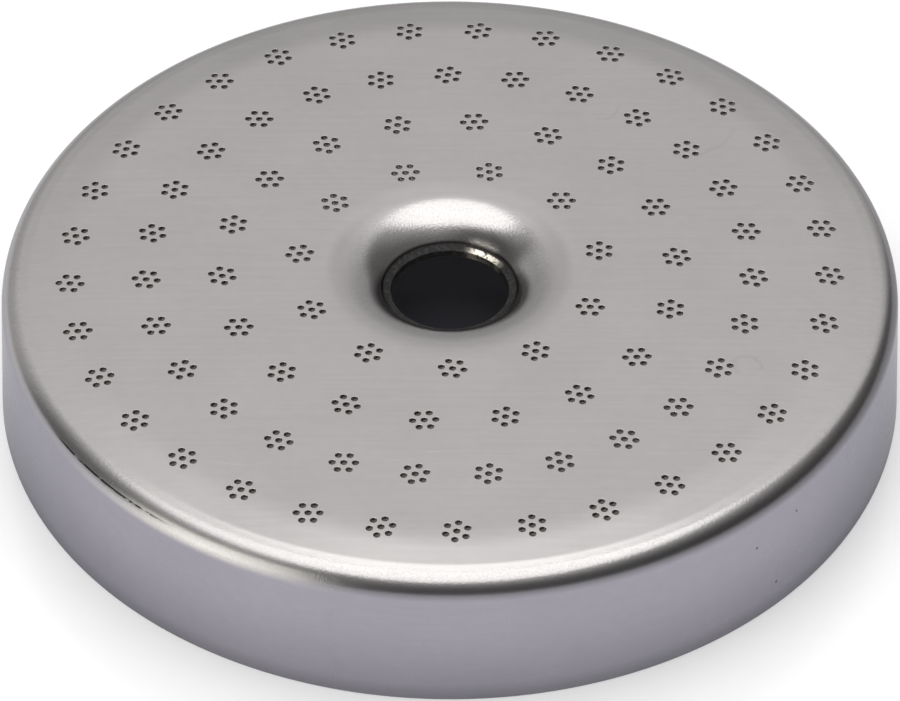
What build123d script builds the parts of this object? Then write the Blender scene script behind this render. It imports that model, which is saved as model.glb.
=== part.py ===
from build123d import *
import os
from math import radians, sin, tan

# Shower screen of an espresso group: one shallow cup pressed from thin stainless sheet.
# It stands on the cut edge of its skirt, with the perforated face on top.
# The origin is the centre of that edge's plane, +Z points up out of the face,
# and +X runs along the one spoke on which every ring of perforations has a cluster.

# Sheet and cup, in millimetres and degrees
sheet_thickness = 0.5
rim_diameter = 59.9          # outside, at the cut edge of the skirt
cup_height = 10.1            # cut edge to face
skirt_draft = 2.6            # the skirt leans in by this angle towards the face
corner_radius = 1.6          # outside, between skirt and face

# Shoulder: outside the perforations the face falls a little before the corner
shoulder_inset = 3.65        # rim's outside to where the fall starts
shoulder_fall = 11.0         # steepness of the fall, from the face's plane
shoulder_radius = 3.0        # rolls the face into the shoulder

# Drawn recess round the fixing screw
screw_hole_diameter = 7.8
seat_width = 0.5             # ring round the screw hole at the recess's floor
seat_fall = 18.0             # the seat is dished towards the hole by this angle
recess_depth = 2.05          # face down to the edge of the screw hole
recess_slope = 53.0          # steepest part of the recess's wall, from the face's plane
recess_entry_radius = 3.4    # wide roll from the face into the recess
recess_floor_radius = 0.3    # small hollow between the wall and the seat
rounds_share = 0.95          # most of the sloping wall that its two rounds may take up

# Perforations: clusters of seven round holes, in rings round the screw hole
perforation_diameter = 0.44
cluster_pitch = 0.74         # centre hole to each of the six round it
first_ring_radius = 10.0
last_ring_inset = 4.95       # rim's outside to the pitch circle of the outermost ring
clusters_per_ring = (11, 18, 27, 33)
cluster_twists = (18.9, 40.7, 47.4, 49.8)   # turn of the six against the ring's radius
holes_round_cluster = 6
tool_margin = 1.0            # how far a cut starts outside the sheet and ends beyond it

NODE = "shower_screen"


def drop(width, fall):
    """How far a line that falls by an angle comes down over a width."""
    return width * tan(radians(fall))


def skirt_radius(height):
    """Outside radius of the leaning skirt at a height above its cut edge."""
    return rim_diameter / 2 - drop(height, skirt_draft)


def entry_radius(wall_height):
    """Roll into the recess, no larger than the recess's sloping wall has room for."""
    wall_length = wall_height / sin(radians(recess_slope))
    floor_round = recess_floor_radius * tan(radians(recess_slope - seat_fall) / 2)
    room = rounds_share * wall_length - floor_round
    return min(recess_entry_radius, room / tan(radians(recess_slope) / 2))


def outer_line():
    """Section of the sheet's outer side, from below the skirt's edge to inside the screw hole."""
    shoulder_start = rim_diameter / 2 - shoulder_inset
    shoulder_width = skirt_radius(cup_height) - shoulder_start
    corner_height = cup_height - drop(shoulder_width, shoulder_fall)
    hole_radius = screw_hole_diameter / 2
    seat_radius = hole_radius + seat_width
    wall_height = recess_depth - drop(seat_width, seat_fall)
    recess_radius = seat_radius + wall_height / tan(radians(recess_slope))
    corners = [
        (skirt_radius(-tool_margin), -tool_margin),
        (skirt_radius(corner_height), corner_height),
        (shoulder_start, cup_height),
        (recess_radius, cup_height),
        (seat_radius, cup_height - wall_height),
        (hole_radius - tool_margin, cup_height - recess_depth - drop(tool_margin, seat_fall)),
    ]
    rounds = [
        corner_radius,
        shoulder_radius,
        entry_radius(wall_height),
        recess_floor_radius,
    ]
    points = [Plane.XZ.from_local_coords(corner) for corner in corners]
    return FilletPolyline(*points, radius=rounds)


def pressed_cup():
    """Sheet of even thickness, turned round the axis, trimmed at its edge and pierced."""
    section = offset(outer_line(), amount=sheet_thickness, side=Side.RIGHT)
    cup = revolve(make_face(section.edges()), axis=Axis.Z)
    trimmed = split(cup, bisect_by=Plane.XY, keep=Keep.TOP)
    return trimmed - extrude(Circle(screw_hole_diameter / 2), amount=cup_height)


def cluster(twist):
    """One hole with six round it, the first of them turned from the ring's radius."""
    hole = Circle(perforation_diameter / 2)
    ring = PolarLocations(cluster_pitch, holes_round_cluster, start_angle=twist)
    return Sketch() + [hole] + [place * hole for place in ring]


def perforations():
    """Every round punch, standing through the face, on evenly stepped pitch circles."""
    last_ring_radius = rim_diameter / 2 - last_ring_inset
    ring_step = (last_ring_radius - first_ring_radius) / (len(clusters_per_ring) - 1)
    outlines = []
    for index, (count, twist) in enumerate(zip(clusters_per_ring, cluster_twists)):
        outline = cluster(twist)
        ring = PolarLocations(first_ring_radius + index * ring_step, count)
        outlines += [place * outline for place in ring]
    level = Plane.XY.offset(cup_height - sheet_thickness - tool_margin)
    length = sheet_thickness + 2 * tool_margin
    return [extrude(level * outline, amount=length) for outline in outlines]


def shower_screen():
    return pressed_cup() - perforations()


os.makedirs("parts", exist_ok=True)
export_step(shower_screen(), f"parts/{NODE}.step")
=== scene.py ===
"""Espresso shower screen: one cup pressed from satin stainless sheet, seen from above on a pale floor."""

import cmath
import math

import bpy
import numpy as np
from mathutils import Matrix, Vector
from mathutils.geometry import delaunay_2d_cdt
from mathutils.kdtree import KDTree


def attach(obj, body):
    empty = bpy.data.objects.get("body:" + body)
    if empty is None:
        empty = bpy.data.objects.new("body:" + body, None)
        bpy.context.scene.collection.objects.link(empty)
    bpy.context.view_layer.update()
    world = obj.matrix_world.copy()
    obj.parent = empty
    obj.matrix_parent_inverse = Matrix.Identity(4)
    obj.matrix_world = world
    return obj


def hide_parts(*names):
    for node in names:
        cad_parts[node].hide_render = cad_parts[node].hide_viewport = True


MM = 0.001

# The pressed sheet, in millimetres and degrees
SHEET = 0.5
RIM_RADIUS = 29.95
CUP_HEIGHT = 10.1
SKIRT_DRAFT = 2.6
CORNER_RADIUS = 1.5
EDGE_START = 27.8            # from here out the face rolls over to the corner
EDGE_FALL = 10
EDGE_RADIUS = 4
SHOULDER_START = 25.4        # just outside the last ring of clusters
SHOULDER_FALL = 6
SHOULDER_RADIUS = 17
CROWN_START = 17.5           # the face is very slightly crowned
CROWN_FALL = 0.75
CROWN_RADIUS = 300
DISH_START = 8.6             # drawing the recess pulled the face down round it
DISH_FALL = 3.5
DISH_RADIUS = 16
SCREW_HOLE_RADIUS = 3.9
SEAT_WIDTH = 0.5
SEAT_FALL = 18
RECESS_DEPTH = 2.05
RECESS_SLOPE = 53
RECESS_ENTRY_RADIUS = 3.8
RECESS_FLOOR_RADIUS = 0.3
CUT_EDGE_ROUND = 0.06

# Perforations
PERFORATION_RADIUS = 0.22
PERFORATION_EDGE_ROUND = 0.03
CLUSTER_PITCH = 0.74
HOLES_ROUND_CLUSTER = 6
RING_RADII = (10, 15, 20, 25)
CLUSTERS_PER_RING = (11, 18, 27, 33)
CLUSTER_TWISTS = (18.9, 40.7, 47.4, 49.8)

# Steps of the mesh, and radii at which the face gets points of its own between the holes
STEPS_AROUND_CUP = 240
STEPS_AROUND_PERFORATION = 20
FACE_CIRCLES = (7.8, 8.2, 8.6, 9.0, 16.4, 17.5, 18.6, 22.5, 24.4, 24.9, 25.4, 25.9, 26.4, 27.2)
CLEAR_OF_PERFORATION = 0.12

# The photographer's place: x to the right, y away, z up, turned about the screen's axis
VIEW_TURN = 56.22
VIEW_ELEVATION = 42.04
VIEW_ROLL = 0.11
VIEW_DISTANCE = 350.7
VIEW_TARGET = (0.016, -8.186, 10.0)
SENSOR_WIDTH = 36
LENS = 216.6

# Light of the air by the sine of its elevation, behind the screen and on the other sides
WALL_LEVELS = (
    (0, 0.56), (0.4, 0.60), (0.55, 0.75), (0.66, 0.885), (0.71, 0.83), (0.735, 1.0), (0.87, 0.93),
    (0.92, 0.2))
ROOM_LEVELS = (
    (0, 0.13), (0.45, 0.17), (0.6, 0.26), (0.74, 0.43), (0.85, 0.6), (0.92, 0.2))

# Ends of the wall in degrees to the right of straight away, and how they lean with height
WALL_LEFT, WALL_LEFT_LEAN, WALL_LEFT_POWER = -66, 90, 4
WALL_RIGHT, WALL_RIGHT_LEAN = 34, 30
WALL_SOFT = 8

# Colours of the sheet and of the board
STEEL = "#B9B6B5"
# The skirt's colour, darker and cooler than the sheet's: painted reflection of a dim lilac floor
SKIRT_STEEL_PAINTED_REFLECTION = "#A29FA8"
TORN_STEEL = "#CCC7C1"
# Pale metal on the seat's upper right: painted highlight of the light from the left
SEAT_HIGHLIGHT_STEEL = "#CFC8BC"
STEEL_GLANCE = "#D6D6D8"
RESIDUE_DARK, RESIDUE_PALE = "#0B0A0A", "#2C2926"
# Dark brown: residue, and painted shade on the recess wall's upper right
RESIDUE_AND_SHADE_FILM = "#3A3735"
WORN_LINE = "#3C3833"
BOARD_DARK, BOARD_PALE = "#EEEEEF", "#F3F3F4"
# Board beneath the cup: painted shade, darker on the near side
UNDER_CUP_SHADE_NEAR, UNDER_CUP_SHADE_FAR = "#55535C", "#A5A3AD"
WHITE = "#FFFFFF"
DAYLIGHT = "#FFFFF5"

# Patterns, in features to a millimetre. Real grain, speckle and peel are some 0.02 mm wide,
# too fine for the picture, so all three are drawn as coarse as they need to show.
CLOUDS_PER_MM = 0.16
GRAIN_PER_MM = (0.12, 3.5, 3.5)
MIST_PER_MM = 1.3
SPECKLE_PER_MM = 8
PEEL_PER_MM = 6.5
MOTTLE_PER_MM = 4.5
CHIPS_PER_MM = (2.2, 2.2, 4.4)
DROP_EDGE_PER_MM = 0.9
FIBRE_PER_MM = 0.6

# The sheet's even tone and roughness, and its relief: its depth, and the shares of it that the
# peel has on the flat and the grain has all over
STEEL_TONE = 0.88
STEEL_ROUGHNESS = 0.205
RELIEF_DEPTH = 0.009
PEEL_ON_FLAT = 0.03
GRAIN_RELIEF = 0.03

# Where the finish changes, and where light and shade are painted: radii, heights above the
# skirt's edge, and the way round in radians, 0 straight away from the photographer and positive
# to the right. A pair that runs downwards is for a zone that grows as the value falls.
OUTSIDE_RADII = (27.5, 28.8)
SKIRT_HEIGHTS = (9.4, 8.3)
# Painted shade: the skirt darker towards the floor, and more so at its foot
SKIRT_SHADE_HEIGHTS = (7.0, 0.0)
FOOT_SHADE_HEIGHTS = (1.5, 0.0)
CORNER_DRAWN_RADII = (27.9, 28.6)
RECESS_DRAWN_RADII = (7.4, 6.4)
# Painted highlight: a brighter band at the top of the skirt on the left front
PAINTED_HIGHLIGHT_HEIGHTS, PAINTED_HIGHLIGHT_SIDE = (8.25, 8.9), (-2.8, -2.3)
SCUFFED_SIDE = (-2.8, -2.4)
# Painted shade: a dark line below the corner, fainter on the left and in front
SHADE_LINE_HEIGHTS = (8.5, 9.35)
SHADE_LINE_FAINT_SIDE = (-2.8, -1.0)
SHADE_LINE_FAINT_FRONT, SHADE_LINE_FRONT_SHARE = (2.45, 2.95), 0.35
# Painted shade round the recess on the near side
NEAR_RECESS_SHADE_RADII, NEAR_RECESS_SHADE_AWAY = (5.4, 7.9), (6.0, 2.0)
SCREW_HOLE_HEIGHTS = (7.0, 7.3)
SEAT_RADII = (4.46, 4.40)
STAIN_RADII = (4.62, 4.46)
# Painted shade on the upper right of the recess wall, in the residue's colour
WALL_SHADE_RADII, WALL_SHADE_SIDE, WALL_SHADE_SHARE = (5.7, 4.9), (0.05, 0.9), 0.6
# Painted highlight on the seat's upper right
SEAT_HIGHLIGHT_RADII, SEAT_HIGHLIGHT_SIDE = (3.85, 4.30), (0.30, 0.95)
WORN_HEIGHTS, WORN_SIDE = (8.93, 9.03), (-2.47, -2.12)

# Levels of a pattern between which a patchy zone sets in
# Patchy edge of the seat's painted highlight
SEAT_HIGHLIGHT_MOTTLE = (0.30, 0.45)
PALE_MOTTLE = (0.45, 0.62)
WORN_CHIPS = (0.40, 0.50)

# Walls of the small holes: depth of the part that the punch sheared clean, how much deeper it
# is where the wall faces right, so that the pale torn part is painted light on walls that face
# left, and how softly the torn part starts beyond it
SHEARED_DEPTH = 0.21
PAINTED_LIGHT_LEAN = 0.10
TORN_EDGE = (-0.05, 0.09)

# Marks of use, from the photographer's side: edges of dried drops by their middle, radius, arc
# in degrees and width, scratches by their ends and half width, and pits in the skirt
DROP_EDGE_WAVER = 0.9
DRIED_DROPS = (
    ((15.0, 15.6), 4.4, (110, 215), 0.10),
    ((9.9, 16.6), 1.5, (90, 250), 0.10),
    ((19.2, -9.6), 0.9, (-150, 120), 0.12),
)
SCRATCHES = (
    ((-14.8, -18.8), (-12.5, -19.2), 0.04),
    ((-1.6, -17.9), (-0.5, -17.8), 0.04),
)
PITS = ((19.5, -22.4, 6.0), (20.9, -21.3, 2.0), (22.1, -19.8, 6.8))
PIT_RADIUS = 0.14

# The white board: where the cup covers it, painted dark as shade, and the far part of that, painted less
# dark as if it got more light
SHADE_UNDER_CUP_RADII = (4.6, 28.0)
SHADE_UNDER_CUP_AWAY = (4.0, 13.0)
BOARD_LIFT = 0.22
BOARD_SIZE = 2000


def hex_colour(text):
    """An sRGB hex colour as the linear one that a shader takes."""
    parts = [int(text[start:start + 2], 16) / 255 for start in (1, 3, 5)]
    linear = [p / 12.92 if p <= 0.04045 else ((p + 0.055) / 1.055) ** 2.4 for p in parts]
    return (*linear, 1)


def photo_turn():
    """Turns what is given from the photographer's side into the part's own frame."""
    return Matrix.Rotation(math.radians(VIEW_TURN), 4, "Z")


# Section of the sheet: a point is radius + height * 1j, and the metal lies to the left of the path

def bend(before, corner, after):
    """Heading into a corner of the section and the turn taken there."""
    into = (corner - before) / abs(corner - before)
    out = (after - corner) / abs(after - corner)
    return into, cmath.phase(out / into)


def inner_corner(before, corner, after):
    """The same corner on the sheet's inner side."""
    into, turn = bend(before, corner, after)
    return corner + SHEET * into * (1j - math.tan(turn / 2))


def round_off(before, corner, after, radius, steps):
    """Arc that rounds a corner: pairs of a point and its outward normal."""
    into, turn = bend(before, corner, after)
    side = math.copysign(1, turn)
    start = corner - into * radius * math.tan(abs(turn) / 2)
    centre = start + into * 1j * side * radius
    headings = [into * cmath.exp(1j * turn * step / steps) for step in range(steps + 1)]
    return [(centre - heading * 1j * side * radius, heading * -1j) for heading in headings]


def drop(width, fall):
    """How far a line that falls by an angle comes down over a width."""
    return width * math.tan(math.radians(fall))


def joined(arcs):
    """Arcs of a section, one after the other."""
    return [place for arc in arcs for place in arc]


def sheet_sections():
    """Sections of the skirt, the face's outer side and the recess, out of one closed path."""
    shoulder_height = CUP_HEIGHT - drop(SHOULDER_START - CROWN_START, CROWN_FALL)
    edge_height = shoulder_height - drop(EDGE_START - SHOULDER_START, SHOULDER_FALL)
    edge_width = RIM_RADIUS - drop(CUP_HEIGHT, SKIRT_DRAFT) - EDGE_START
    corner_height = edge_height - drop(edge_width, EDGE_FALL)
    seat_radius = SCREW_HOLE_RADIUS + SEAT_WIDTH
    seat_height = CUP_HEIGHT - RECESS_DEPTH + drop(SEAT_WIDTH, SEAT_FALL)
    wall_height = CUP_HEIGHT - seat_height - drop(DISH_START - seat_radius, DISH_FALL)
    recess_width = wall_height / (drop(1, RECESS_SLOPE) - drop(1, DISH_FALL))
    recess_height = seat_height + drop(recess_width, RECESS_SLOPE)
    rim = complex(RIM_RADIUS, 0)
    corner = complex(RIM_RADIUS - drop(corner_height, SKIRT_DRAFT), corner_height)
    edge = complex(EDGE_START, edge_height)
    shoulder = complex(SHOULDER_START, shoulder_height)
    crown = complex(CROWN_START, CUP_HEIGHT)
    dish = complex(DISH_START, CUP_HEIGHT)
    recess = complex(seat_radius + recess_width, recess_height)
    seat = complex(seat_radius, seat_height)
    hole = complex(SCREW_HOLE_RADIUS, CUP_HEIGHT - RECESS_DEPTH)
    lower_hole = hole - SHEET / math.cos(math.radians(SEAT_FALL)) * 1j
    inner_rim = rim - SHEET / math.cos(math.radians(SKIRT_DRAFT))
    # Each corner with the radius of its round and the steps that it is drawn in
    skirt = [
        (inner_corner(corner, edge, shoulder), EDGE_RADIUS - SHEET, 3),
        (inner_corner(rim, corner, edge), CORNER_RADIUS - SHEET, 8),
        (inner_rim, CUT_EDGE_ROUND, 2),
        (rim, CUT_EDGE_ROUND, 2),
        (corner, CORNER_RADIUS, 14),
        (edge, EDGE_RADIUS, 3),
    ]
    face = [
        (shoulder, SHOULDER_RADIUS, 6),
        (crown, CROWN_RADIUS, 4),
        (dish, DISH_RADIUS, 4),
    ]
    recessed = [
        (recess, RECESS_ENTRY_RADIUS, 14),
        (seat, RECESS_FLOOR_RADIUS, 4),
        (hole, CUT_EDGE_ROUND, 2),
        (lower_hole, CUT_EDGE_ROUND, 2),
        (inner_corner(recess, seat, hole), RECESS_FLOOR_RADIUS + SHEET, 5),
        (inner_corner(dish, recess, seat), RECESS_ENTRY_RADIUS - SHEET, 10),
    ]
    inner_face = [
        (inner_corner(crown, dish, recess), DISH_RADIUS - SHEET, 4),
        (inner_corner(edge, shoulder, crown), SHOULDER_RADIUS - SHEET, 6),
    ]
    path = skirt + face + recessed + inner_face
    points = [point for point, _, _ in path]
    following = points[1:] + points[:1]
    arcs = [
        round_off(points[at - 1], point, following[at], radius, steps)
        for at, (point, radius, steps) in enumerate(path)
    ]
    face_start = len(skirt)
    recess_start = face_start + len(face)
    recess_end = recess_start + len(recessed)
    return (
        joined(arcs[:face_start]),
        joined(arcs[face_start - 1:recess_start + 1]),
        joined(arcs[recess_start:recess_end]),
    )


def perforation_section():
    """Section of one small hole: its rounded upper edge, its wall and its lower edge."""
    far = 2 * PERFORATION_RADIUS
    top, bottom = CUP_HEIGHT * 1j, (CUP_HEIGHT - SHEET) * 1j
    path = [far + top, PERFORATION_RADIUS + top, PERFORATION_RADIUS + bottom, far + bottom]
    upper = round_off(*path[:3], PERFORATION_EDGE_ROUND, 2)
    lower = round_off(*path[1:], PERFORATION_EDGE_ROUND, 1)
    return upper + lower


def perforation_centres():
    """Centres of all small holes, cluster by cluster, with the first spoke along +X."""
    centres = []
    for radius, count, twist in zip(RING_RADII, CLUSTERS_PER_RING, CLUSTER_TWISTS):
        for cluster in range(count):
            spoke = cmath.exp(2j * math.pi * cluster / count)
            middle = radius * spoke
            centres.append(middle)
            for hole in range(HOLES_ROUND_CLUSTER):
                turn = math.radians(twist) + 2 * math.pi * hole / HOLES_ROUND_CLUSTER
                centres.append(middle + CLUSTER_PITCH * spoke * cmath.exp(1j * turn))
    return centres


class Face:
    """How far the perforated face lies below its middle, and how steeply it falls."""

    def __init__(self, section):
        line = sorted(section, key=lambda pair: pair[0].real)
        self.radii = [point.real for point, _ in line]
        self.heights = [point.imag - CUP_HEIGHT for point, _ in line]
        self.falls = [normal.real / normal.imag for _, normal in line]

    def at(self, place):
        """Height below the middle of the face, and the way its normal leans."""
        radius = abs(place)
        height = np.interp(radius, self.radii, self.heights)
        return height, np.interp(radius, self.radii, self.falls) * place / radius


class Sheet:
    """Mesh of the sheet while it is put together, with an exact normal at each point."""

    def __init__(self):
        self.points, self.normals, self.faces = [], [], []

    def point(self, place, height, facing, up):
        """Adds a point and its normal; returns its number."""
        normal = Vector((facing.real, facing.imag, up)).normalized()
        self.points.append((place.real * MM, place.imag * MM, height * MM))
        self.normals.append(normal)
        return len(self.points) - 1

    def turn(self, section, steps, centre=0, face=None):
        """Turns a section about an upright axis; returns its first and last rings of points."""
        rings = []
        for point, normal in section:
            ring = []
            for step in range(steps):
                round_about = cmath.exp(2j * math.pi * step / steps)
                place = centre + point.real * round_about
                sunk, lean = face.at(place) if face else (0, 0)
                facing = normal.real * round_about + normal.imag * lean
                ring.append(self.point(place, point.imag + sunk, facing, normal.imag))
            rings.append(ring)
        for low, high in zip(rings, rings[1:]):
            for at in range(steps):
                after = (at + 1) % steps
                self.faces.append((low[at], low[after], high[after], high[at]))
        return rings[0], rings[-1]

    def face_points(self, face, perforations):
        """Points of the face between the holes, above and below."""
        holes = KDTree(len(perforations))
        for at, centre in enumerate(perforations):
            holes.insert((centre.real, centre.imag, 0), at)
        holes.balance()
        above, below = [], []
        for radius in FACE_CIRCLES:
            for step in range(STEPS_AROUND_CUP):
                place = cmath.rect(radius, 2 * math.pi * step / STEPS_AROUND_CUP)
                _, _, nearest = holes.find((place.real, place.imag, 0))
                if nearest < PERFORATION_RADIUS + PERFORATION_EDGE_ROUND + CLEAR_OF_PERFORATION:
                    continue
                sunk, lean = face.at(place)
                height = CUP_HEIGHT + sunk
                above.append(self.point(place, height, lean, 1))
                below.append(self.point(place, height - SHEET, -lean, -1))
        return above, below

    def fill(self, upper_loops, lower_loops, upper_free, lower_free):
        """Fills the face between its outer loop and the loops of its holes, above and below."""
        upper = [point for loop in upper_loops for point in loop] + upper_free
        lower = [point for loop in lower_loops for point in loop] + lower_free
        owner = [at for at, loop in enumerate(upper_loops) for _ in loop] + [0] * len(upper_free)
        flat = [Vector(self.points[point][:2]) / MM for point in upper]
        edges, start = [], 0
        for loop in upper_loops:
            edges += [(start + at, start + (at + 1) % len(loop)) for at in range(len(loop))]
            start += len(loop)
        fill_whole, weld = 0, 1e-6
        _, _, triangles, origin, _, _ = delaunay_2d_cdt(flat, edges, [], fill_whole, weld)
        for triangle in triangles:
            a, b, c = (origin[point][0] for point in triangle)
            inside_a_hole = owner[a] == owner[b] == owner[c] != 0
            if not inside_a_hole:
                self.faces.append((upper[a], upper[b], upper[c]))
                self.faces.append((lower[c], lower[b], lower[a]))

    def finish(self, name, material):
        """Makes the mesh an object of the scene."""
        mesh = bpy.data.meshes.new(name)
        mesh.from_pydata(self.points, [], self.faces)
        mesh.shade_smooth()
        mesh.normals_split_custom_set_from_vertices(self.normals)
        mesh.materials.append(material)
        piece = bpy.data.objects.new(name, mesh)
        bpy.context.collection.objects.link(piece)
        return piece


def pressed_cup(material):
    """The whole screen: skirt, corner, face with its perforations, recess and screw hole."""
    skirt_section, face_section, recess_section = sheet_sections()
    face = Face(face_section)
    sheet = Sheet()
    skirt_below, skirt_above = sheet.turn(skirt_section, STEPS_AROUND_CUP)
    recess_above, recess_below = sheet.turn(recess_section, STEPS_AROUND_CUP)
    above, below = [skirt_above, recess_above], [skirt_below, recess_below]
    perforations = perforation_centres()
    hole_section = perforation_section()
    for centre in perforations:
        upper, lower = sheet.turn(hole_section, STEPS_AROUND_PERFORATION, centre, face)
        above.append(upper)
        below.append(lower)
    free_above, free_below = sheet.face_points(face, perforations)
    sheet.fill(above, below, free_above, free_below)
    return sheet.finish("pressed_cup", material)


# Materials

SOFT = {"interpolation_type": "SMOOTHSTEP"}
COLOUR = {"data_type": "RGBA"}


def add(tree, kind, inputs=(), **settings):
    """Adds a node with its settings and links.

    Inputs are given by name, or in order, as values, sockets or nodes. A node gives the first
    output that its settings leave it.
    """
    made = tree.nodes.new("ShaderNode" + kind)
    for name, value in settings.items():
        setattr(made, name, value)
    named = inputs if isinstance(inputs, dict) else dict(enumerate(inputs))
    for key, value in named.items():
        if isinstance(value, bpy.types.Node):
            value = next(socket for socket in value.outputs if socket.enabled)
        if isinstance(value, bpy.types.NodeSocket):
            tree.links.new(value, made.inputs[key])
        else:
            made.inputs[key].default_value = value
    return made


def new_material(name):
    """An empty material and its node tree."""
    material = bpy.data.materials.new(name)
    material.use_nodes = True
    material.node_tree.nodes.clear()
    return material, material.node_tree


def from_photo(tree, vector):
    """A vector of the part, turned to how the photographer sees it."""
    return add(tree, "VectorRotate", {
        "Vector": vector, "Axis": (0, 0, 1), "Angle": -math.radians(VIEW_TURN)})


class Where:
    """Where a point of a piece lies from the photographer's side: sockets, in millimetres."""

    def __init__(self, tree):
        part = add(tree, "TexCoord").outputs["Object"]
        large = add(tree, "VectorMath", {0: part, "Scale": 1 / MM}, operation="SCALE")
        self.place = from_photo(tree, large)
        self.across, self.away, self.height = add(tree, "SeparateXYZ", (self.place,)).outputs
        level = add(tree, "VectorMath", (self.place, (1, 1, 0)), operation="MULTIPLY")
        self.radius = add(tree, "VectorMath", (level,), operation="LENGTH")
        self.side = add(tree, "Math", (self.across, self.away), operation="ARCTAN2")


def between(tree, value, start, end, soft):
    """1 where a value lies between two bounds, with soft edges."""
    rise = add(tree, "MapRange", (value, start - soft, start + soft), **SOFT)
    fall = add(tree, "MapRange", (value, end - soft, end + soft, 1.0, 0.0), **SOFT)
    return add(tree, "Math", (rise, fall), operation="MULTIPLY")


def shared(tree, zone, *others):
    """1 where all of these zones are."""
    for other in others:
        zone = add(tree, "Math", (zone, other), operation="MULTIPLY")
    return zone


def apart_from(tree, zone, other):
    """A zone less what another one covers."""
    rest = add(tree, "Math", (1.0, other), operation="SUBTRACT")
    return add(tree, "Math", (zone, rest), operation="MULTIPLY")


def raised(tree, level, *zones):
    """A level with an amount added in each zone."""
    for zone, amount in zones:
        level = add(tree, "Math", (zone, amount, level), operation="MULTIPLY_ADD")
    return level


def shaded(tree, tone, *zones):
    """A tone made brighter or darker by a share in each zone."""
    for zone, share in zones:
        factor = add(tree, "Math", (zone, share, 1.0), operation="MULTIPLY_ADD")
        tone = add(tree, "Math", (tone, factor), operation="MULTIPLY")
    return tone


def coated(tree, colour, *coats):
    """A colour with others laid over it, each in its own zone."""
    for zone, coat in coats:
        colour = add(tree, "Mix", {"Factor": zone, "A": colour, "B": coat}, **COLOUR)
    return colour


def scratched(tree, where, lines):
    """1 on fine straight scratches, each given by its two ends and its half width."""
    total = 0.0
    for (x0, y0), (x1, y1), width in lines:
        way = complex(x1 - x0, y1 - y0)
        along, aside = way / abs(way), way / abs(way) * 1j
        from_x = add(tree, "Math", (where.across, x0), operation="SUBTRACT")
        from_y = add(tree, "Math", (where.away, y0), operation="SUBTRACT")
        length = raised(tree, 0.0, (from_y, along.imag), (from_x, along.real))
        offset = raised(tree, 0.0, (from_y, aside.imag), (from_x, aside.real))
        inside = between(tree, length, 0, abs(way), soft=0.3)
        narrow = between(tree, offset, -width, width, width / 2)
        total = add(tree, "Math", (inside, narrow, total), operation="MULTIPLY_ADD")
    return total


def dried_edges(tree, where, drops):
    """1 on the fine, wavering edges of dried drops on the face."""
    total = 0.0
    waver = add(tree, "TexNoise", {"Vector": where.place, "Scale": DROP_EDGE_PER_MM})
    waver = add(tree, "Math", (waver, 0.5), operation="SUBTRACT")
    for (x, y), radius, (start, end), width in drops:
        moved = add(tree, "VectorMath", (where.place, (x, y, CUP_HEIGHT)), operation="SUBTRACT")
        far = add(tree, "VectorMath", (moved,), operation="LENGTH")
        far = raised(tree, far, (waver, DROP_EDGE_WAVER))
        across, away, _ = add(tree, "SeparateXYZ", (moved,)).outputs
        side = add(tree, "Math", (across, away), operation="ARCTAN2")
        line = between(tree, far, radius - width, radius + width, width)
        arc = between(tree, side, math.radians(start), math.radians(end), soft=0.25)
        total = add(tree, "Math", (line, arc, total), operation="MULTIPLY_ADD")
    return total


def pitted(tree, where, spots):
    """1 on small round pits, each given by its middle."""
    total = 0.0
    for spot in spots:
        far = add(tree, "VectorMath", (where.place, spot), operation="DISTANCE")
        pit = add(tree, "MapRange", (far, PIT_RADIUS, PIT_RADIUS / 2), **SOFT)
        total = add(tree, "Math", (total, pit), operation="ADD")
    return total


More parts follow.
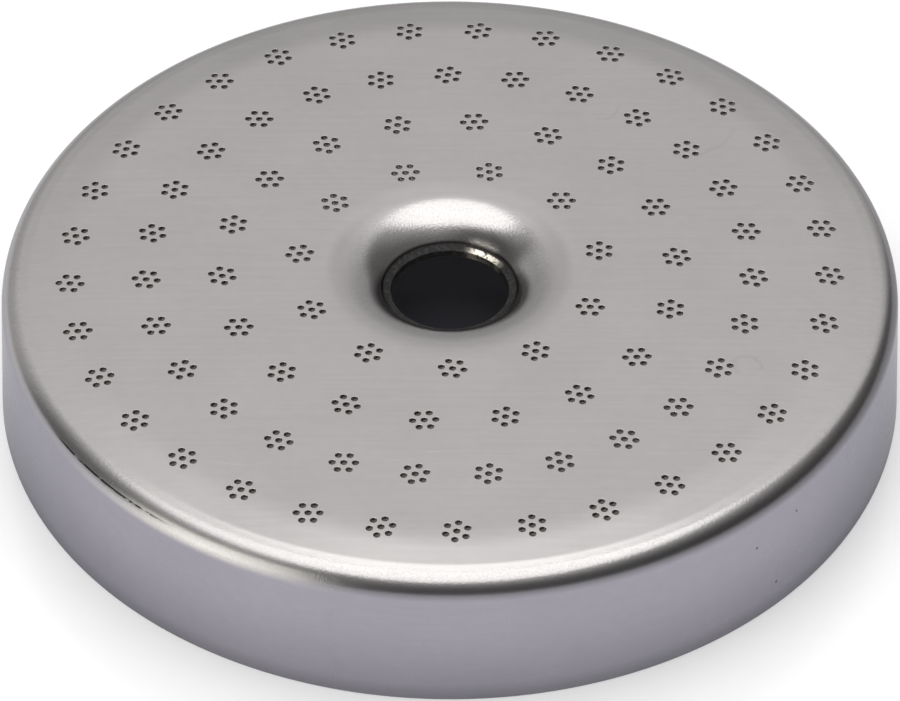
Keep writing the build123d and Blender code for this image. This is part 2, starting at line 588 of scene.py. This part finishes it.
class Zones:
    """Zones of the sheet with a finish of their own, and zones of painted light and shade, 1 inside."""

    def __init__(self, tree, where):
        self.outside = add(tree, "MapRange", (where.radius, *OUTSIDE_RADII), **SOFT)
        # Painted highlight: a band at the top of the skirt on the left front, kept out of the skirt's
        # colour
        self.painted_highlight_band = shared(
            tree, self.outside,
            between(tree, where.height, *PAINTED_HIGHLIGHT_HEIGHTS, soft=0.25),
            between(tree, where.side, *PAINTED_HIGHLIGHT_SIDE, soft=0.2))
        below_corner = add(tree, "MapRange", (where.height, *SKIRT_HEIGHTS), **SOFT)
        self.skirt = apart_from(tree, shared(tree, self.outside, below_corner), self.painted_highlight_band)
        corner = add(tree, "MapRange", (where.radius, *CORNER_DRAWN_RADII), **SOFT)
        recess = add(tree, "MapRange", (where.radius, *RECESS_DRAWN_RADII), **SOFT)
        drawn = add(tree, "Math", (corner, recess), operation="MAXIMUM")
        self.drawn = apart_from(tree, drawn, self.skirt)
        self.scuffed = shared(
            tree, self.outside, between(tree, where.side, *SCUFFED_SIDE, soft=0.15))
        # Painted shade round the recess on the near side
        near_half = add(tree, "MapRange", (where.away, *NEAR_RECESS_SHADE_AWAY), **SOFT)
        self.near_recess_shade = shared(tree, near_half, between(tree, where.radius, *NEAR_RECESS_SHADE_RADII, soft=0.5))
        # Painted shade: the skirt darker towards the floor, and more so at its foot
        self.low, self.foot = (
            shared(tree, self.outside, add(tree, "MapRange", (where.height, *heights), **SOFT))
            for heights in (SKIRT_SHADE_HEIGHTS, FOOT_SHADE_HEIGHTS))
        # Painted shade: a dark line below the corner
        self.painted_shade_line = self.painted_dark_line(tree, where)

    def painted_dark_line(self, tree, where):
        """Painted shade: a dark line below the corner, fainter in front and on the left, where the light
        from the left is reflected.
        """
        line = shared(tree, self.outside, between(tree, where.height, *SHADE_LINE_HEIGHTS, soft=0.4))
        turned = add(tree, "Math", (where.side,), operation="ABSOLUTE")
        front = add(
        tree, "MapRange", (turned, *SHADE_LINE_FAINT_FRONT, 0.0, SHADE_LINE_FRONT_SHARE), **SOFT)
        lit_from_left = between(tree, where.side, *SHADE_LINE_FAINT_SIDE, soft=0.25)
        faint = add(tree, "Math", (lit_from_left, front), operation="MAXIMUM")
        return apart_from(tree, line, faint)


def seat_zones(tree, where):
    """Painted shade and residue on the recess's wall, stain at its foot, and the seat's painted
    highlight, dirty and pale parts.
    """
    near_hole = add(tree, "MapRange", (where.height, *SCREW_HOLE_HEIGHTS), **SOFT)
    # Painted shade on the upper right of the recess wall, in the residue's colour
    painted_wall_shade = shared(
        tree, near_hole,
        add(tree, "MapRange", (where.radius, *WALL_SHADE_RADII, 0.0, WALL_SHADE_SHARE), **SOFT),
        between(tree, where.side, *WALL_SHADE_SIDE, soft=0.3))
    stain = shared(
        tree, near_hole, add(tree, "MapRange", (where.radius, *STAIN_RADII), **SOFT))
    seat = shared(tree, near_hole, add(tree, "MapRange", (where.radius, *SEAT_RADII), **SOFT))
    mottle = add(tree, "TexNoise", {
        "Vector": where.place, "Scale": MOTTLE_PER_MM, "Detail": 3.0})
    # Painted highlight: a pale patch on the seat's upper right, lit from the left
    lit_patch = shared(
        tree,
        between(tree, where.side, *SEAT_HIGHLIGHT_SIDE, soft=0.15),
        between(tree, where.radius, *SEAT_HIGHLIGHT_RADII, soft=0.06),
        add(tree, "MapRange", (mottle, *SEAT_HIGHLIGHT_MOTTLE), **SOFT))
    lit_from_left = shared(tree, seat, lit_patch)
    dirty = apart_from(tree, seat, lit_patch)
    pale = add(tree, "MapRange", (mottle, *PALE_MOTTLE), **SOFT)
    return painted_wall_shade, stain, lit_from_left, dirty, pale


def worn_line(tree, where, outside):
    """1 on a broken dark line worn into the corner on the left."""
    stretched = add(tree, "VectorMath", (where.place, CHIPS_PER_MM), operation="MULTIPLY")
    chips = add(tree, "TexNoise", {"Vector": stretched, "Scale": 1.0})
    return shared(
        tree, outside,
        between(tree, where.height, *WORN_HEIGHTS, soft=0.03),
        between(tree, where.side, *WORN_SIDE, soft=0.05),
        add(tree, "MapRange", (chips, *WORN_CHIPS), **SOFT))


def torn_walls(tree, where):
    """1 on the lower part of each small hole's wall, where the sheet tore ahead of the punch, reaching
    higher on walls that face left as painted light.
    """
    depth = add(tree, "Math", (CUP_HEIGHT, where.height), operation="SUBTRACT")
    crown = raised(tree, -drop(CROWN_START, CROWN_FALL), (where.radius, drop(1, CROWN_FALL)))
    crown = add(tree, "Math", (crown, 0.0), operation="MAXIMUM")
    depth = add(tree, "Math", (depth, crown), operation="SUBTRACT")
    normal = add(tree, "NewGeometry").outputs["Normal"]
    across, _, _ = add(tree, "SeparateXYZ", (from_photo(tree, normal),)).outputs
    # Painted light: the torn part reaches higher on walls that face left
    sheared = raised(tree, SHEARED_DEPTH, (across, PAINTED_LIGHT_LEAN))
    beyond = add(tree, "Math", (depth, sheared), operation="SUBTRACT")
    lower_edge = SHEET - PERFORATION_EDGE_ROUND
    reach = CLUSTER_PITCH + PERFORATION_RADIUS + CLEAR_OF_PERFORATION
    return shared(
        tree,
        add(tree, "MapRange", (beyond, *TORN_EDGE), **SOFT),
        add(tree, "MapRange", (depth, lower_edge, lower_edge + 0.02, 1.0, 0.0), **SOFT),
        between(tree, where.radius, RING_RADII[0] - reach, RING_RADII[-1] + reach, soft=0.02))


def satin_stainless():
    """Stainless sheet, cold rolled to a satin finish, pierced, drawn into a cup and washed.

    Rolling leaves a faint straight grain and a soft, slightly cloudy gloss. Drawing roughened
    the sheet where it was stretched round the corner and into the recess, so highlights end
    there in fine speckle. The skirt scraped along the die and is duller; its darker, cooler colour
    is a painted reflection of a dim lilac floor, with painted shade towards its foot. A painted
    highlight brightens the top of the skirt at the left front, and painted shade darkens a line
    below the corner and the near side round the recess. There is a worn line at the corner on
    the left and a few pits on the right. Dark residue sits on the seat round the screw hole, save
    for a pale patch on its upper right, a painted highlight of the light from the left; the dark
    coat on the recess wall's upper right is residue with painted shade. The punch tore the lower
    part of each small hole's wall, which stays matt, and more of it on walls that face left, as
    painted light.
    """
    material, tree = new_material("satin_stainless")
    where = Where(tree)
    zones = Zones(tree, where)

    clouds = add(tree, "TexNoise", {
        "Vector": where.place, "Scale": CLOUDS_PER_MM, "Detail": 3.0})
    mist = add(tree, "TexNoise", {"Vector": where.place, "Scale": MIST_PER_MM, "Detail": 3.0})
    rolled = add(tree, "VectorMath", (where.place, GRAIN_PER_MM), operation="MULTIPLY")
    grain = add(tree, "TexNoise", {"Vector": rolled, "Scale": 1.0})
    speckle = add(tree, "TexNoise", {
        "Vector": where.place, "Scale": SPECKLE_PER_MM, "Detail": 1.0})
    speckle = add(tree, "Math", (speckle, 0.5), operation="SUBTRACT")
    tone = raised(
        tree, STEEL_TONE,
        (grain, 0.08),
        (clouds, 0.10),
        (mist, 0.06),
        (dried_edges(tree, where, DRIED_DROPS), -0.06),
        (scratched(tree, where, SCRATCHES), 0.07))
    tone = shaded(
        tree, tone,
        (shared(tree, zones.drawn, speckle), 0.3),
        # Painted shade on the skirt, darker towards its foot
        (zones.low, -0.18),
        (zones.foot, -0.22),
        # Painted shade: a dark line below the corner
        (zones.painted_shade_line, -0.50),
        # Painted highlight at the top of the skirt on the left front
        (zones.painted_highlight_band, 0.2),
        (pitted(tree, where, PITS), -0.6),
        # Painted shade round the recess on the near side
        (zones.near_recess_shade, -0.14))
    # The skirt's darker, cooler colour is a painted reflection of the floor
    colour = coated(tree, hex_colour(STEEL), (zones.skirt, hex_colour(SKIRT_STEEL_PAINTED_REFLECTION)))
    colour = add(tree, "VectorMath", {0: colour, "Scale": tone}, operation="SCALE")

    painted_wall_shade, stain, lit_from_left, dirty, pale = seat_zones(tree, where)
    dirt = coated(tree, hex_colour(RESIDUE_DARK), (pale, hex_colour(RESIDUE_PALE)))
    torn = torn_walls(tree, where)
    colour = coated(
        tree, colour,
        # Painted shade on the recess wall's upper right, and residue
        (painted_wall_shade, hex_colour(RESIDUE_AND_SHADE_FILM)),
        (stain, hex_colour(RESIDUE_AND_SHADE_FILM)),
        # Painted highlight on the seat's upper right
        (lit_from_left, hex_colour(SEAT_HIGHLIGHT_STEEL)),
        (dirty, dirt),
        (worn_line(tree, where, zones.outside), hex_colour(WORN_LINE)),
        (torn, hex_colour(TORN_STEEL)))

    peel = add(tree, "TexNoise", {"Vector": where.place, "Scale": PEEL_PER_MM})
    relief = shared(tree, peel, raised(tree, PEEL_ON_FLAT, (zones.drawn, 1 - PEEL_ON_FLAT)))
    relief = raised(tree, relief, (grain, GRAIN_RELIEF))
    bump = add(tree, "Bump", {"Height": relief, "Distance": RELIEF_DEPTH * MM})

    matt = add(tree, "Math", (dirty, torn), operation="MAXIMUM")
    roughness = raised(
        tree, STEEL_ROUGHNESS,
        (clouds, 0.05),
        (zones.skirt, 0.02),
        (zones.scuffed, 0.08),
        (zones.outside, 0.02),
        (matt, 0.35))
    shader = add(tree, "BsdfPrincipled", {
        "Base Color": colour,
        "Metallic": add(tree, "Math", (1.0, matt), operation="SUBTRACT"),
        "Roughness": roughness,
        "Specular Tint": hex_colour(STEEL_GLANCE),
        "Normal": bump,
    })
    add(tree, "OutputMaterial", {"Surface": shader})
    return material


def white_board():
    """Smooth white laminate board: even and pale, with a soft gloss seen at a low angle.

    Straight on it is lifted to the white of the paper behind it. Inside the cup it is painted
    dark as shade, less dark towards the far side, and from below it is clear, so that the inside
    of the cup can be seen.
    """
    material, tree = new_material("white_board")
    where = Where(tree)
    # Painted shade: the board beneath the cup is darker, most on the near side
    shade_under_cup = between(tree, where.radius, *SHADE_UNDER_CUP_RADII, soft=0.3)
    far = add(tree, "MapRange", (where.away, *SHADE_UNDER_CUP_AWAY), **SOFT)
    inside = coated(tree, hex_colour(UNDER_CUP_SHADE_NEAR), (far, hex_colour(UNDER_CUP_SHADE_FAR)))
    fibre = add(tree, "TexNoise", {
        "Vector": where.place, "Scale": FIBRE_PER_MM, "Detail": 3.0})
    pale = coated(tree, hex_colour(BOARD_DARK), (fibre, hex_colour(BOARD_PALE)))
    shader = add(tree, "BsdfPrincipled", {
        "Base Color": coated(tree, pale, (shade_under_cup, inside)),
        "Roughness": 0.2,
        "Specular IOR Level": 0.8,
    })
    white = add(tree, "Emission", {"Color": hex_colour(WHITE), "Strength": BOARD_LIFT})
    rays = add(tree, "LightPath").outputs
    mirrored = add(
        tree, "Math", (rays["Is Glossy Ray"], rays["Is Transmission Ray"]), operation="MAXIMUM")
    seen = add(tree, "Math", (rays["Is Camera Ray"], mirrored), operation="MAXIMUM")
    lifted = add(tree, "AddShader", (shader, white))
    shown = add(tree, "MixShader", (apart_from(tree, seen, shade_under_cup), shader, lifted))
    below = add(tree, "NewGeometry").outputs["Backfacing"]
    clear = add(tree, "BsdfTransparent", {"Color": hex_colour(WHITE)})
    board = add(tree, "MixShader", (below, shown, clear))
    add(tree, "OutputMaterial", {"Surface": board})
    return material


# Studio

def floor():
    """The white board that the screen stands on."""
    size = BOARD_SIZE * MM
    mesh = bpy.data.meshes.new("floor")
    corners = [(-size, -size, 0), (size, -size, 0), (size, size, 0), (-size, size, 0)]
    mesh.from_pydata(corners, [], [(0, 1, 2, 3)])
    mesh.materials.append(white_board())
    board = bpy.data.objects.new("floor", mesh)
    bpy.context.collection.objects.link(board)


def soft_light(name, shape, place, target, lean, size, radiance, colour):
    """A soft light at a place from the photographer's side, in millimetres."""
    lamp = bpy.data.lights.new(name, "AREA")
    lamp.shape = shape
    lamp.size, lamp.size_y = (side * MM for side in size)
    fullness = math.pi / 4 if shape == "ELLIPSE" else 1
    lamp.energy = radiance * math.pi * lamp.size * lamp.size_y * fullness
    lamp.color = hex_colour(colour)[:3]
    light = bpy.data.objects.new(name, lamp)
    bpy.context.collection.objects.link(light)
    place, target = Vector(place) * MM, Vector(target) * MM
    aim = (target - place).to_track_quat("-Z", "Y").to_matrix().to_4x4()
    roll = Matrix.Rotation(math.radians(lean), 4, "Z")
    light.matrix_world = photo_turn() @ Matrix.Translation(place) @ aim @ roll


def lit_by_height(tree, upward, stops):
    """Light of the air from the horizon up, as grey levels."""
    ramp = add(tree, "ValToRGB", (upward,))
    elements = ramp.color_ramp.elements
    for at, (place, level) in enumerate(stops):
        stop = elements[at] if at < len(elements) else elements.new(place)
        stop.position = place
        stop.color = (level, level, level, 1)
    return ramp


def studio_air():
    """Pale wall behind the screen, a dim room on the other sides, brighter overhead."""
    world = bpy.data.worlds.new("studio_air")
    world.use_nodes = True
    bpy.context.scene.world = world
    tree = world.node_tree
    tree.nodes.clear()
    way = from_photo(tree, add(tree, "TexCoord").outputs["Generated"])
    across, away, upward = add(tree, "SeparateXYZ", (way,)).outputs
    side = add(tree, "Math", (across, away), operation="ARCTAN2")
    side = add(tree, "Math", (side,), operation="DEGREES")
    above_floor = add(tree, "Math", (upward, 0.0), operation="MAXIMUM")
    steep = add(tree, "Math", (above_floor, WALL_LEFT_POWER), operation="POWER")
    from_left = raised(tree, side, (steep, -WALL_LEFT_LEAN))
    from_right = raised(tree, side, (upward, -WALL_RIGHT_LEAN))
    right_end = (WALL_RIGHT - WALL_SOFT, WALL_RIGHT + WALL_SOFT)
    left_end = (WALL_LEFT - WALL_SOFT, WALL_LEFT + WALL_SOFT)
    on_wall = shared(
        tree,
        add(tree, "MapRange", (from_left, *left_end), **SOFT),
        add(tree, "MapRange", (from_right, *right_end, 1.0, 0.0), **SOFT))
    room = lit_by_height(tree, upward, ROOM_LEVELS)
    wall = lit_by_height(tree, upward, WALL_LEVELS)
    air = add(tree, "Background", {"Color": coated(tree, room, (on_wall, wall)), "Strength": 1.0})
    add(tree, "OutputWorld", {"Surface": air})


def camera():
    """The camera at the photographer's place."""
    lens = bpy.data.cameras.new("camera")
    lens.sensor_width = SENSOR_WIDTH
    lens.lens = LENS
    lens.clip_start, lens.clip_end = 10 * MM, 10000 * MM
    seen = bpy.data.objects.new("camera", lens)
    bpy.context.collection.objects.link(seen)
    tilt = Matrix.Rotation(math.radians(90 - VIEW_ELEVATION), 4, "X")
    roll = Matrix.Rotation(math.radians(VIEW_ROLL), 4, "Z")
    target = Matrix.Translation(Vector(VIEW_TARGET) * MM)
    away = Matrix.Translation((0, 0, VIEW_DISTANCE * MM))
    seen.matrix_world = photo_turn() @ target @ tilt @ roll @ away
    bpy.context.scene.camera = seen


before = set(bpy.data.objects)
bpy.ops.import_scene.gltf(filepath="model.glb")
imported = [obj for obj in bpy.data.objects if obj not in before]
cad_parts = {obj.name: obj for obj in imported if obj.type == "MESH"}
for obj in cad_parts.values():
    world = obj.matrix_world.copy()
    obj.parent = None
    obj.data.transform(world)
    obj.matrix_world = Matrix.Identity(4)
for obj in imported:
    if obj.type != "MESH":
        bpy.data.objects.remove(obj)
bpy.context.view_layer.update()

screen = pressed_cup(satin_stainless())
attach(screen, "root")
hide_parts("shower_screen")

floor()
soft_light(
    "overhead", "ELLIPSE", place=(-28, -22, 600), target=(-28, -22, 0), lean=0,
    size=(745, 690), radiance=1.96, colour=WHITE)
soft_light(
    "window", "RECTANGLE", place=(-690, -580, 165), target=(0, 0, 0), lean=16,
    size=(640, 650), radiance=1.95, colour=DAYLIGHT)
studio_air()
camera()
bpy.context.scene.view_settings.view_transform = "Standard"
